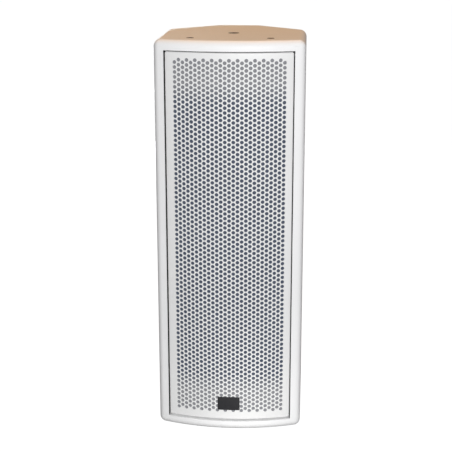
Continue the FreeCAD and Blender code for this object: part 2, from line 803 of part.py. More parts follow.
def horn():
    """Rectangular flare that narrows to a round throat, with a mounting flange at each end."""
    throat = cell("throat").value
    depth = cell("horn_depth").value
    thick = cell("horn_wall").value
    flange = cell("horn_flange").value
    margin = MOUTH_MARGIN * cell("horn_lip").value
    mouth_x = cell("horn_width").value - margin
    mouth_z = cell("horn_height").value - margin

    def flare(grow):
        wires = []
        for share in FLARE_STATIONS:
            bend = (1 - share) ** FLARE_POWER
            width = throat + (mouth_x - throat) * bend + grow * 2
            height = throat + (mouth_z - throat) * bend + grow * 2
            least = min(width, height)
            radius = least / 2 - 0.1 - MOUTH_SQUARENESS * (least - throat) * bend
            wires.append(rounded_wire(width, height, radius, -flange + (depth + flange) * share))
        return Part.makeLoft(wires, True)

    front_flange = Part.Face(rounded_wire(
        cell("horn_width").value, cell("horn_height").value, cell("horn_corner").value,
        -flange)).extrude(Vector(0, flange, 0))
    collar = cell("throat_flange_thick").value
    rear_flange = Part.makeCylinder(cell("throat_flange").value, collar,
                                    Vector(0, depth - collar, 0), Vector(0, 1, 0))
    shape = flare(thick).fuse([front_flange, rear_flange]).cut(flare(0))
    for x, z in horn_screw_places():
        spot = Vector(x.value, -flange - 1, z.value - middle.value)
        hole = Part.makeCylinder(cell("screw_hole").value, flange + 2, spot, Vector(0, 1, 0))
        shape = shape.cut(hole)
    item = doc.addObject("Part::Feature", "horn")
    item.Shape = shape.removeSplitter()
    move(item, 0, baffle_front, middle)
    node("horn", item)


def compression_driver():
    """High-frequency driver behind the horn: plates, ring magnet, dome and rear cap."""
    def part(name, profile, arcs=None):
        label = f"hf_{name}"
        return node(label, turned(label, profile, baffle_front, middle, arcs))

    start = cell("horn_depth")
    plate_rear = start + cell("driver_plate")
    magnet_rear = plate_rear + cell("driver_magnet")
    back = magnet_rear + cell("driver_back")
    radius = cell("driver_radius")
    throat = cell("throat") / 2
    dome = cell("dome_radius")
    part("front_plate", ring_profile(throat, radius, start, plate_rear))
    part("magnet", ring_profile(cell("hf_magnet_bore"), radius + cell("hf_magnet_proud"),
                                plate_rear, magnet_rear))
    part("back_plate", ring_profile(dome + cell("dome_gap"), radius, magnet_rear, back))
    # conical pole with an annular way round it for the sound
    plug = dome - cell("dome_gap")
    plug_rear = back - cell("plug_rear")
    part("phase_plug", [(throat + cell("plug_gap"), plate_rear), (plug, plate_rear),
                        (plug, plug_rear), (throat + cell("plug_flare"), plug_rear)])
    inner = dome - cell("dome_former_in")
    outer = dome + cell("dome_former_out")
    rise = cell("dome_rise")
    thick = cell("dome_thick")
    former = back - cell("dome_former")
    bend = bend_radius(inner, rise)
    rim = back + cell("dome_gap")
    part("diaphragm", [
        (0, rim + rise), (inner, rim), (inner, former), (outer, former), (outer, rim),
        (inner, rim + thick), (0, rim + rise + thick),
    ], {0: ((0, rim + rise - bend), bend, False),
        5: ((0, rim + rise + thick - bend), bend, True)})
    ring_start = back + cell("hf_ring_start")
    part("suspension", ring_profile(outer + cell("soft_gap"), cell("hf_ring_outer"), ring_start,
                                    ring_start + cell("hf_ring_thick")))
    cap = cell("cap_radius")
    cap_inner = cap - cell("hf_cap_wall")
    cap_rear = back + cell("cap_depth")
    cap_end = cap_rear - cell("hf_cap_end")
    seat = cell("hf_ring_outer")
    part("rear_cap", [(seat, back), (cap, back), (cap, cap_rear), (0, cap_rear), (0, cap_end),
                      (cap_inner, cap_end), (cap_inner, back + cell("hf_cap_wall")),
                      (seat, back + cell("hf_cap_wall"))])


# ---- reflex ports ----

def reflex_ports():
    """Four lipped tubes from the baffle into the enclosure."""
    outer = cell("port_radius") - cell("port_slack")
    bore = outer - cell("port_wall")
    lip = cell("port_lip")
    length = cell("port_length")
    tubes = []
    for name, (x, z) in port_places().items():
        profile = [(bore, -lip / 2), (outer + lip, -lip / 2), (outer + lip, 0), (outer, 0),
                   (outer, length), (bore, length)]
        tubes.append(turned(f"{name}_port", profile, baffle_front, z, x=x))
    node("reflex_ports", fused("port_set", tubes))


# ---- crossover ----

def crossover():
    """Filter board on standoffs inside the rear wall, with its coils, capacitors and resistors."""
    centre = cell("board_centre")
    half_x = cell("board_width") / 2
    half_z = cell("board_height") / 2
    back = rear_inside - cell("standoff")
    face = back - cell("board_thick")
    node("crossover_board", block("board", (-half_x, half_x), (face, back),
                                  (centre - half_z, centre + half_z)))
    post_x = half_x - cell("post_inset_x")
    post_z = half_z - cell("post_inset_z")
    posts = [cylinder(f"post_{x}_{z}", cell("post_radius"), cell("standoff"), x * post_x, back,
                      centre + z * post_z) for x in (-1, 1) for z in (-1, 1)]
    node("crossover_standoffs", fused("post_set", posts))
    coils = []
    for index, (x, z) in enumerate(CHOKE_PLACES):
        place = (cell("choke_height"), x, face, centre + z, "-Y")
        outer = cylinder(f"coil_{index}", cell("choke_radius"), *place)
        core = cylinder(f"coil_core_{index}", cell("choke_bore"), *place)
        coils.append(cut(f"coil_ring_{index}", outer, core))
    node("crossover_coils", fused("coil_set", coils))
    cans = [cylinder(f"capacitor_{index}", cell("can_radius"), cell("can_height"), x, face,
                     centre + z, "-Y") for index, (x, z) in enumerate(CAPACITOR_PLACES)]
    node("crossover_capacitors", fused("can_set", cans))
    half = cell("resistor_half")
    bars = [block(f"resistor_{index}", (x - half, x + half), (face - cell("resistor_rise"), face),
                  (centre + z, centre + z + cell("resistor_length")))
            for index, (x, z) in enumerate(RESISTOR_PLACES)]
    node("crossover_resistors", fused("bar_set", bars))


# ---- rear input plate ----

def input_plate_screw_places():
    """Three screws down each side of the rear plate."""
    x = cell("plate_width") / 2 - cell("plate_screw_x")
    z = cell("plate_height") / 2 - cell("plate_screw_z")
    centre = cell("plate_centre")
    return [(side * x, centre + level * z) for side in (-1, 1) for level in (-1, 0, 1)]


def socket_places():
    """Heights of the two sockets' centres."""
    offset = cell("socket_offset")
    centre = cell("plate_centre")
    return {"upper": centre + offset, "lower": centre - offset}


def socket_screw_places(centre):
    """Two screws on opposite corners of a socket's flange."""
    x = cell("socket_flange_x") / 2 - cell("socket_screw")
    z = cell("socket_flange_z") / 2 - cell("socket_screw")
    return [(x, centre + z), (-x, centre - z)]


def flat_plate(label, thick, y, half_x, half_z, holes):
    """A thin plate across Y round the input plate's centre, with round holes."""
    body = new_body(label)
    centre = cell("plate_centre")
    face = new_sketch(body, "XZ_Plane")
    rectangle(face, -half_x, half_x, centre - half_z, centre + half_z)
    pad(body, face, thick, backwards=True)
    openings = new_sketch(body, "XZ_Plane")
    for x, z, radius in holes:
        circle(openings, x, z, radius)
    pocket(body, openings, thick)
    move(body, 0, y, 0)
    return body


def rear_input():
    """Recessed steel plate with a gasket, its screws and two round four-pole sockets."""
    half_x = cell("plate_width") / 2
    half_z = cell("plate_height") / 2
    gasket = cell("gasket_thick")
    thick = cell("plate_thick")
    holes = [(x, z, cell("small_hole")) for x, z in input_plate_screw_places()]
    for centre in socket_places().values():
        holes.append((0, centre, cell("socket_shell") + cell("socket_slack")))
        holes += [(x, z, cell("small_hole")) for x, z in socket_screw_places(centre)]
    node("input_plate", flat_plate("input_plate", thick, plate_face - thick, half_x, half_z, holes))

    seal = new_body("input_plate_gasket")
    centre = cell("plate_centre")
    ring = new_sketch(seal, "XZ_Plane")
    rectangle(ring, -half_x, half_x, centre - half_z, centre + half_z)
    pad(seal, ring, gasket, backwards=True)
    window = new_sketch(seal, "XZ_Plane")
    rectangle(window, -cell("cutout_half_x"), cell("cutout_half_x"),
              centre - cell("cutout_half_z"), centre + cell("cutout_half_z"))
    for x, z in input_plate_screw_places():
        circle(window, x, z, cell("small_hole"))
    pocket(seal, window, gasket)
    move(seal, 0, plate_face - thick - gasket, 0)
    node("input_plate_gasket", seal)

    lip = cell("socket_lip")
    seats = [(x, z, plate_face) for x, z in input_plate_screw_places()]
    seats += [(x, z, plate_face + lip)
              for socket in socket_places().values() for x, z in socket_screw_places(socket)]
    pieces = []
    for index, (x, z, face) in enumerate(seats):
        name = f"rear_screw_{index}"
        head = cell("small_head_thick")
        pieces.append(cylinder(name, cell("small_head"), head, x, face, z))
        pieces.append(cylinder(f"{name}_shaft", cell("small_screw"), cell("small_length"),
                               x, face + head, z, "-Y"))
    node("input_plate_screws", fused("rear_screw_set", pieces))

    bore = cell("socket_bore")
    shell = cell("socket_shell")
    depth = cell("socket_depth")
    contacts = []
    for name, centre in socket_places().items():
        flange_x = cell("socket_flange_x") / 2
        flange_z = cell("socket_flange_z") / 2
        flange = block(f"{name}_flange", (-flange_x, flange_x), (plate_face, plate_face + lip),
                       (centre - flange_z, centre + flange_z))
        barrel = cylinder(f"{name}_barrel", shell, depth, 0, plate_face + lip, centre, "-Y")
        well = cylinder(f"{name}_well", bore, depth - cell("socket_floor"), 0,
                        plate_face + lip, centre, "-Y")
        boss = cylinder(f"{name}_boss", cell("socket_boss"), depth - cell("boss_floor"), 0,
                        plate_face + lip - cell("boss_sink"), centre, "-Y")
        clear = [cylinder(f"{name}_flange_hole_{index}", cell("small_hole"), cell("flange_bore"),
                          x, plate_face - thick, z)
                 for index, (x, z) in enumerate(socket_screw_places(centre))]
        hollow = cut(f"{name}_hollow", fused(f"{name}_outer", [flange, barrel]),
                     fused(f"{name}_removed", [well] + clear))
        node(f"{name}_input_socket", fused(f"{name}_socket_body", [hollow, boss]))
        tail = plate_face + lip - depth
        for index in range(4):
            turn = math.radians(45 + 90 * index)
            x = cell("contact_circle") * math.cos(turn)
            z = centre + cell("contact_circle") * math.sin(turn)
            half = cell("contact_half")
            leaf = cell("contact_thick") / 2
            contacts.append(block(f"{name}_contact_{index}", (x - half, x + half),
                                  (tail - cell("contact_length"), tail), (z - leaf, z + leaf)))
    node("socket_contacts", fused("contact_set", contacts))


# ---- lining and wiring ----

def damping_lining():
    """Wadding panels against the side walls, in the three bays between the braces."""
    thick = cell("lining_thick")
    half_brace = cell("brace_thick") / 2 + cell("lining_gap")
    near = cell("brace_offset") - half_brace
    far = cell("brace_offset") + half_brace
    end = cell("lining_gap") * 4
    bays = [(floor_top + end, middle - far), (middle - near, middle + near),
            (middle + far, ceiling - end)]
    gap = cell("lining_gap") / 4
    panels = []
    for side in (-1, 1):
        limits = sorted((side * (inner_half - gap), side * (inner_half - gap - thick)),
                        key=lambda size: size.value)
        for index, (low, high) in enumerate(bays):
            depth = (baffle_rear + end, inner_chamfer_start - end)
            panels.append(block(f"lining_{side}_{index}", limits, depth, (low, high)))
    node("damping_lining", fused("lining_set", panels))


def wire(points, radius):
    """A lead along straight runs joined by tangent arcs."""
    spots = [Vector(*(as_size(value).value for value in point)) for point in points]
    edges = []
    start = spots[0]
    for before, corner, after in zip(spots, spots[1:], spots[2:]):
        into = (corner - before).normalize()
        away = (after - corner).normalize()
        turn = into.getAngle(away)
        room = 0.45 * min((corner - before).Length, (after - corner).Length)
        bend = room / math.tan(turn / 2)
        first = corner - into * room
        last = corner + away * room
        inward = (away - into).normalize()
        crown = corner + inward * (bend / math.cos(turn / 2) - bend)
        edges.append(Part.LineSegment(start, first).toShape())
        edges.append(Part.Arc(first, crown, last).toShape())
        start = last
    edges.append(Part.LineSegment(start, spots[-1]).toShape())
    path = Part.Wire(edges)
    section = Part.Wire(Part.makeCircle(radius, spots[0], spots[1] - spots[0]))
    return path.makePipeShell([section], True, True)


def internal_wiring():
    """Leads from the sockets to the crossover and on to each driver."""
    board_face = rear_inside - cell("standoff") - cell("board_thick")
    board_low = cell("board_centre") - cell("board_height") / 2
    board_high = cell("board_centre") + cell("board_height") / 2
    radius = cell("wire_radius").value
    clear = 12
    lane = board_face - clear
    inner_lane = lane - clear * 2
    contact = cell("contact_circle") * math.sqrt(0.5)
    contact_z = socket_places()["upper"] + contact
    contact_y = plate_face + cell("socket_lip") - cell("socket_depth") - cell("contact_length")
    tab_x = cell("tab_spread")
    tab_y = baffle_front + cell("tag_start") + cell("tag_length") + cell("tab_length")
    tab_rise = cell("tag_rise") + cell("tab_thick") * 1.5
    cap_y = baffle_front + (cell("horn_depth") + cell("driver_plate") + cell("driver_magnet")
                            + cell("driver_back") + cell("cap_depth"))
    upper = woofer_places["upper"] + tab_rise
    lower = woofer_places["lower"] + tab_rise
    runs = [
        [(contact, contact_y, contact_z), (contact, contact_y - clear / 2, contact_z),
         (contact, inner_lane, contact_z + clear),
         (0, inner_lane, board_low - clear * 4), (0, lane, board_low + clear / 2),
         (0, board_face, board_low + clear / 2)],
        [(tab_x, tab_y, upper), (tab_x, tab_y + clear * 2, upper),
         (tab_x, lane, board_high - clear / 3), (tab_x, board_face, board_high - clear / 3)],
        [(tab_x, tab_y, lower), (tab_x, tab_y + clear, lower),
         (clear * 2, inner_lane - clear, lower + clear * 4),
         (clear * 2, inner_lane - clear, board_low - clear * 4),
         (clear * 2, lane, board_low + clear / 2), (clear * 2, board_face, board_low + clear / 2)],
        [(-clear, cap_y, middle), (-clear, cap_y + clear, middle),
         (-clear, inner_lane, middle + clear * 2), (-clear, inner_lane, board_low - clear * 2),
         (-clear, lane, board_low + clear / 2), (-clear, board_face, board_low + clear / 2)],
    ]
    shapes = []
    for points in runs:
        shapes.append(wire(points, radius))
    item = doc.addObject("Part::Feature", "internal_wiring")
    item.Shape = Part.makeCompound(shapes)
    node("internal_wiring", item)


# ---- assembly ----

enclosure_panels(enclosure_blank())
threaded_inserts()
front_baffle()
brace("upper_brace", middle + cell("brace_offset"))
brace("lower_brace", middle - cell("brace_offset"))
grille()
grille_magnets()
foam_apex = grille_front + cell("grille_sheet")
foam_inset = cell("grille_sheet") + cell("foam_inset")
bowed_plate("grille_foam", cell("grille_radius") - cell("grille_sheet"), foam_apex,
            grille_half - foam_inset, grille_low + foam_inset, grille_high - foam_inset,
            cell("foam_thick"))
badge_half = cell("badge_height") / 2
bowed_plate("badge", cell("grille_radius") + cell("badge_thick"), grille_front - cell("badge_thick"),
            cell("badge_width") / 2, cell("badge_rise") - badge_half,
            cell("badge_rise") + badge_half, cell("badge_thick"))
for side, centre in woofer_places.items():
    woofer(side, centre)
woofer_terminals()
horn()
driver_screws()
compression_driver()
reflex_ports()
crossover()
rear_input()
damping_lining()
internal_wiring()
doc.recompute()

for item in doc.Objects:
    if "Invalid" in item.State or "Error" in item.State:
        raise RuntimeError(f"{item.Label}: {item.State}")
for item in nodes:
    if item.Shape.isNull() or not item.Shape.isValid() or not item.Shape.Solids:
        raise RuntimeError(f"{item.Label}: shape is not a valid solid")

os.makedirs("parts", exist_ok=True)
for item in nodes:
    item.Shape.exportStep(f"parts/{item.Label}.step")
    print(item.Label, len(item.Shape.Solids), round(item.Shape.Volume))
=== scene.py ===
"""Looks of the column loudspeaker: perforated grille, foam, badge, finishes, studio and camera."""
import bpy
import bmesh
import json
import math
import random
from mathutils import Matrix, Vector
from mathutils.geometry import delaunay_2d_cdt


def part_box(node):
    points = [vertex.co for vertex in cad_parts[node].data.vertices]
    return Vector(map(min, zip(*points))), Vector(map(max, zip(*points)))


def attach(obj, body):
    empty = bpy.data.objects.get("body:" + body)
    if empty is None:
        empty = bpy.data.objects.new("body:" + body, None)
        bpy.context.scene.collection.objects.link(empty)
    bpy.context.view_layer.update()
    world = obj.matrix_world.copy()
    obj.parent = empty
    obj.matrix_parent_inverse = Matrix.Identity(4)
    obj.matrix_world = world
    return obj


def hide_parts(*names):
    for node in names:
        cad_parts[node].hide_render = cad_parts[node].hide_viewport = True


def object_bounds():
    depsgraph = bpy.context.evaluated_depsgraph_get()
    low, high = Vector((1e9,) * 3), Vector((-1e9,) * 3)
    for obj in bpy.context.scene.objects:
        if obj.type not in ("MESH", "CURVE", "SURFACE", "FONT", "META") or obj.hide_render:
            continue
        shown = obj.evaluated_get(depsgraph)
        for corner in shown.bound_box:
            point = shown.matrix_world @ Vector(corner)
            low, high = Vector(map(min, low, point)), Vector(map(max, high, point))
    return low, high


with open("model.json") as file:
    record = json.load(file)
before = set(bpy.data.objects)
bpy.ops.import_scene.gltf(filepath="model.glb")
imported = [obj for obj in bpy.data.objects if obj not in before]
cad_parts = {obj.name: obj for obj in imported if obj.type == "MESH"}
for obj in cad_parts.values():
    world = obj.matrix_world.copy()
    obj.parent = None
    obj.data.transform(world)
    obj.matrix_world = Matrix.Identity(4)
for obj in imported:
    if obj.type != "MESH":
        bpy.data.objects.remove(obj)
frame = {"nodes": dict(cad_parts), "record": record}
cad_low, cad_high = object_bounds()

MM = 0.001
scene = bpy.context.scene

# ---------------------------------------------------------------- camera

# Offsets from the middle of the grille's front face, and the angles of the view.
CAMERA_RIGHT = 128.4 * MM
CAMERA_BACK = 1772.8 * MM
CAMERA_UP = 520.3 * MM
CAMERA_YAW = 0.0746
CAMERA_PITCH = 0.2683
CAMERA_ROLL = -0.0017
CAMERA_LENS = 88.7
CAMERA_SENSOR = 36
CAMERA_REACH = 50


def make_camera():
    """Long lens, a little right of the middle and above the top, looking down."""
    grille_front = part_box("grille")[0].y
    target = Vector((0, grille_front, (cad_low.z + cad_high.z) / 2))
    data = bpy.data.cameras.new("camera")
    data.lens = CAMERA_LENS
    data.sensor_width = CAMERA_SENSOR
    data.clip_end = CAMERA_REACH
    camera = bpy.data.objects.new("camera", data)
    scene.collection.objects.link(camera)
    turn = (Matrix.Rotation(CAMERA_YAW, 4, "Z")
            @ Matrix.Rotation(math.pi / 2 - CAMERA_PITCH, 4, "X")
            @ Matrix.Rotation(CAMERA_ROLL, 4, "Z"))
    place = target + Vector((CAMERA_RIGHT, -CAMERA_BACK, CAMERA_UP))
    camera.matrix_world = Matrix.Translation(place) @ turn
    scene.camera = camera


# ---------------------------------------------------------------- node helpers

class Shader:
    """A material being wired up, with a Principled shader at its end."""

    def __init__(self, name):
        self.material = bpy.data.materials.new(name)
        self.material.use_nodes = True
        self.tree = self.material.node_tree
        self.surface = self.tree.nodes["Principled BSDF"]
        coordinates = self.tree.nodes.new("ShaderNodeTexCoord")
        self.place = coordinates.outputs["Object"]

    def node(self, kind, settings=None, **inputs):
        """Add a node; inputs are values or other nodes' output sockets."""
        made = self.tree.nodes.new(f"ShaderNode{kind}")
        for key, value in (settings or {}).items():
            setattr(made, key, value)
        for key, value in inputs.items():
            self.feed(made.inputs[key.replace("_", " ")], value)
        return made

    def feed(self, socket, value):
        """Link a node's output to a socket, or set the socket's own value."""
        if isinstance(value, bpy.types.NodeSocket):
            self.tree.links.new(value, socket)
        else:
            socket.default_value = value

    def noise(self, scale, detail=3, rough=0.55, stretch=None, seed=0):
        """Noise with a scale in features per metre; a seed moves it elsewhere in its field."""
        where = self.place
        if stretch or seed:
            mapping = self.node("Mapping", Vector=where)
            mapping.inputs["Scale"].default_value = stretch or (1, 1, 1)
            mapping.inputs["Location"].default_value = (seed, seed * 2, seed * 3)
            where = mapping.outputs[0]
        made = self.node("TexNoise", Vector=where, Scale=scale, Detail=detail, Roughness=rough)
        return made.outputs["Fac"]

    def cells(self, scale):
        """Distance to the nearest cell centre, with a scale in cells per metre."""
        made = self.node("TexVoronoi", Vector=self.place, Scale=scale)
        return made.outputs["Distance"]

    def ranged(self, value, low, high, start=0.3, stop=0.7):
        """Map start..stop onto low..high, held at both ends."""
        made = self.node("MapRange", Value=value)
        made.inputs["From Min"].default_value = start
        made.inputs["From Max"].default_value = stop
        made.inputs["To Min"].default_value = low
        made.inputs["To Max"].default_value = high
        return made.outputs[0]

    def mixed(self, share, first, second):
        """Blend two colours, given as RGB or sockets."""
        made = self.node("Mix", {"data_type": "RGBA"})
        self.feed(made.inputs["Factor"], share)
        for socket, colour in ((made.inputs[6], first), (made.inputs[7], second)):
            if not isinstance(colour, bpy.types.NodeSocket):
                colour = (*colour, 1)
            self.feed(socket, colour)
        return made.outputs[2]

    def maths(self, operation, first, second=0.0):
        """One step of arithmetic on values or sockets."""
        made = self.node("Math", {"operation": operation})
        self.feed(made.inputs[0], first)
        self.feed(made.inputs[1], second)
        return made.outputs[0]

    def bump(self, height, strength, distance, under=None):
        """A bumped normal, on top of another one if given."""
        made = self.node("Bump", Height=height, Strength=strength, Distance=distance)
        if under is not None:
            self.feed(made.inputs["Normal"], under)
        return made.outputs[0]

    def finish(self, colour, roughness, normal=None, metallic=0.0, **extra):
        """Wire the surface and hand back the material."""
        if not isinstance(colour, bpy.types.NodeSocket):
            colour = (*colour, 1)
        self.feed(self.surface.inputs["Base Color"], colour)
        self.feed(self.surface.inputs["Roughness"], roughness)
        self.surface.inputs["Metallic"].default_value = metallic
        if normal is not None:
            self.feed(self.surface.inputs["Normal"], normal)
        for key, value in extra.items():
            self.surface.inputs[key.replace("_", " ")].default_value = value
        return self.material


def shade(colour, amount):
    """A colour made lighter or darker by a factor."""
    return tuple(min(1.0, part * amount) for part in colour)


# ---------------------------------------------------------------- materials

def textured_paint(name, colour, grain=1400, depth=0.00006, rough=0.5):
    """Sprayed textured coating: fine pebbled grain over very slight tone changes."""
    s = Shader(name)
    tone = s.mixed(s.ranged(s.noise(6, 4), 0, 1), shade(colour, 0.965), shade(colour, 1.01))
    speck = s.ranged(s.noise(grain * 0.9, 2), 0, 1, 0.35, 0.65)
    fleck = s.mixed(speck, (0.93, 0.93, 0.93), (1, 1, 1))
    blend = s.node("Mix", {"data_type": "RGBA", "blend_type": "MULTIPLY"})
    blend.inputs["Factor"].default_value = 0.6
    s.feed(blend.inputs[6], tone)
    s.feed(blend.inputs[7], fleck)
    pebbles = s.bump(s.cells(grain), 0.35, depth)
    orange_peel = s.bump(s.noise(grain * 0.4, 3), 0.3, depth * 2, pebbles)
    gloss = s.ranged(s.noise(grain * 0.2, 3), rough - 0.05, rough + 0.07)
    return s.finish(blend.outputs[2], gloss, orange_peel, Specular_IOR_Level=0.4)


def grey_foam(name, colour, dark, zones):
    """Reticulated foam of one grey, darkened over the middle of the grille with painted shade of
    the deep driver cavity behind it; the zones near the two ends keep the foam's own paler grey.
    """
    s = Shader(name)
    low, high, fade = zones
    z = s.node("SeparateXYZ", Vector=s.place).outputs["Z"]
    rise = s.ranged(z, 1, 0, low - fade, low + fade)
    fall = s.ranged(z, 0, 1, high - fade, high + fade)
    ends = s.maths("MAXIMUM", rise, fall)
    # painted shade: the middle of the foam takes the dark colour as shade of the deep driver cavity
    # behind it; the ends keep the foam's own grey
    base = s.mixed(ends, dark, colour)
    cell = s.cells(900)
    # painted shade: each foam cell is darker towards its middle, where its open pore is
    pore_shade = s.mixed(s.ranged(cell, 0, 1, 0.1, 0.6), (0.55, 0.55, 0.57), (1, 1, 1))
    blend = s.node("Mix", {"data_type": "RGBA", "blend_type": "MULTIPLY"})
    blend.inputs["Factor"].default_value = 0.7
    s.feed(blend.inputs[6], base)
    s.feed(blend.inputs[7], pore_shade)
    bump = s.bump(s.noise(1300, 3), 0.7, 0.0003)
    return s.finish(blend.outputs[2], s.ranged(cell, 0.85, 1.0), bump, Specular_IOR_Level=0.15)


def moulded_plastic(name, colour, rough=0.45, grain=2500, coarse=0.5, specular=0.5):
    """Moulded plastic with a fine spark-eroded grain and faint flow marks."""
    s = Shader(name)
    tone = s.mixed(s.ranged(s.noise(25, 4), 0, 1), shade(colour, 0.85), shade(colour, 1.12))
    grain_bump = s.bump(s.noise(grain, 2), coarse, 0.00005)
    flow = s.bump(s.noise(40, 2, stretch=(1, 1, 3)), 0.08, 0.0004, grain_bump)
    gloss = s.ranged(s.noise(180, 3), rough - 0.07, rough + 0.08)
    return s.finish(tone, gloss, flow, Specular_IOR_Level=specular)


def bare_metal(name, colour, rough=0.35, stretch=(1, 12, 1), scale=700, bump=0.25):
    """Machined or plated metal: directional scratches and cloudy plating."""
    s = Shader(name)
    scratch = s.noise(scale, 4, stretch=stretch)
    cloud = s.noise(60, 4, seed=3)
    tone = s.mixed(s.ranged(cloud, 0, 1), shade(colour, 0.8), shade(colour, 1.1))
    gloss = s.ranged(scratch, rough - 0.1, rough + 0.15)
    return s.finish(tone, gloss, s.bump(scratch, bump, 0.00005), metallic=1.0)


def coated_metal(name, colour, rough=0.5, grain=900, bump=0.4, metallic=0.35,
                 specular=0.5):
    """Cast or pressed metal under a thin dark coat, paler where it rubs."""
    s = Shader(name)
    rub = s.ranged(s.noise(90, 5), 0, 1, 0.55, 0.8)
    tone = s.mixed(rub, colour, shade(colour, 1.9))
    gloss = s.ranged(s.noise(220, 3), rough - 0.1, rough + 0.15)
    grit = s.bump(s.noise(grain, 4), bump, 0.00012)
    return s.finish(tone, gloss, grit, metallic, Specular_IOR_Level=specular)


def sintered(name, colour):
    """Ferrite: dark, gritty, with small chips and pale dust."""
    s = Shader(name)
    dust = s.ranged(s.noise(300, 6), 0, 1, 0.5, 0.75)
    tone = s.mixed(dust, colour, shade(colour, 2.2))
    chips = s.bump(s.cells(350), 0.4, 0.0003)
    return s.finish(tone, s.ranged(s.noise(500, 3), 0.55, 0.85),
                    s.bump(s.noise(2200, 3), 0.6, 0.0001, chips))


def radial(s, centre):
    """Distance from an axis along Y through a centre, in metres."""
    parts = s.node("SeparateXYZ", Vector=s.place)
    across = s.maths("SUBTRACT", parts.outputs["X"], centre.x)
    up = s.maths("SUBTRACT", parts.outputs["Z"], centre.z)
    square = s.maths("ADD", s.maths("MULTIPLY", across, across), s.maths("MULTIPLY", up, up))
    return s.maths("SQRT", square)


def pressed_paper(name, colour, centre, ribs=1100.0):
    """Pulp cone: felted fibres over faint concentric ribs."""
    s = Shader(name)
    ring = s.maths("SINE", s.maths("MULTIPLY", radial(s, centre), ribs))
    fibres = s.noise(1500, 6, 0.7)
    tone = s.mixed(s.ranged(fibres, 0, 1), shade(colour, 0.7), shade(colour, 1.5))
    height = s.bump(s.ranged(ring, 0, 1, -1, 1), 0.3, 0.0003)
    return s.finish(tone, s.ranged(fibres, 0.7, 0.95), s.bump(fibres, 0.6, 0.0002, height))


def woven(name, colour, threads=1400.0):
    """Plain weave: two crossed sets of threads with a little slub."""
    s = Shader(name)
    parts = s.node("SeparateXYZ", Vector=s.place)
    warp = s.maths("SINE", s.maths("MULTIPLY", parts.outputs["X"], threads * math.tau / 2))
    weft = s.maths("SINE", s.maths("MULTIPLY", parts.outputs["Z"], threads * math.tau / 2))
    cloth = s.maths("MULTIPLY", warp, weft)
    slub = s.noise(400, 4)
    tone = s.mixed(s.ranged(slub, 0, 1), shade(colour, 0.75), shade(colour, 1.25))
    height = s.bump(s.ranged(cloth, 0, 1, -1, 1), 0.6, 0.0002)
    return s.finish(tone, s.ranged(slub, 0.75, 0.95), s.bump(slub, 0.3, 0.0002, height))


def wound_copper(name, colour):
    """Enamelled wire laid side by side, seen as fine bands along Y."""
    s = Shader(name)
    y = s.node("SeparateXYZ", Vector=s.place).outputs["Y"]
    bands = s.maths("SINE", s.maths("MULTIPLY", y, math.tau / (0.5 * MM)))
    tone = s.mixed(s.ranged(bands, 0, 1, -1, 1), shade(colour, 0.55), shade(colour, 1.15))
    return s.finish(tone, s.ranged(s.noise(200, 3), 0.25, 0.4),
                    s.bump(bands, 0.8, 0.00015), metallic=0.9)


def birch_ply(name, colour, ply=1.4 * MM):
    """Bare plywood: long pale grain and alternate darker plies."""
    s = Shader(name)
    grain = s.noise(35, 6, 0.65, stretch=(1, 14, 14))
    z = s.node("SeparateXYZ", Vector=s.place).outputs["Z"]
    layer = s.maths("SINE", s.maths("MULTIPLY", z, math.tau / (2 * ply)))
    light = s.mixed(s.ranged(grain, 0, 1), shade(colour, 0.82), shade(colour, 1.1))
    tone = s.mixed(s.ranged(layer, 0, 0.35, 0.2, 0.5), light, shade(colour, 0.55))
    return s.finish(tone, s.ranged(grain, 0.55, 0.75), s.bump(grain, 0.4, 0.0002))


def soft_fibre(name, colour):
    """Polyester wadding: matted fibres in soft tufts."""
    s = Shader(name)
    tuft = s.noise(60, 6, 0.7)
    fibre = s.noise(900, 5, 0.75, stretch=(1, 3, 1))
    tone = s.mixed(s.ranged(tuft, 0, 1), shade(colour, 0.8), shade(colour, 1.05))
    height = s.bump(tuft, 0.8, 0.003)
    return s.finish(tone, 0.95, s.bump(fibre, 0.7, 0.0006, height), Sheen_Weight=0.2)


def laminate(name, colour):
    """Solder-masked board: dark mask with slightly raised tracks."""
    s = Shader(name)
    tracks = s.node("TexBrick", Vector=s.place, Scale=220.0)
    tracks.inputs["Mortar Size"].default_value = 0.03
    tone = s.mixed(tracks.outputs["Fac"], colour, shade(colour, 1.7))
    return s.finish(tone, s.ranged(s.noise(300, 2), 0.25, 0.4),
                    s.bump(tracks.outputs["Fac"], 0.5, 0.0001))


def glazed(name, colour):
    """Cement or ceramic body: chalky, with pinholes."""
    s = Shader(name)
    pits = s.cells(700)
    tone = s.mixed(s.ranged(s.noise(150, 4), 0, 1), shade(colour, 0.85), shade(colour, 1.04))
    return s.finish(tone, s.ranged(pits, 0.6, 0.9), s.bump(pits, 0.4, 0.0002))


def middle_of(node):
    """Middle of a CAD node's box."""
    low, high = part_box(node)
    return (low + high) / 2


# The foam keeps its own paler grey near the two ends of the grille, with painted shade of the
# driver cavity between: how far in, and over what distance it fades.
UNSHADED_FOAM_END = 66 * MM
CAVITY_SHADE_FADE = 16 * MM


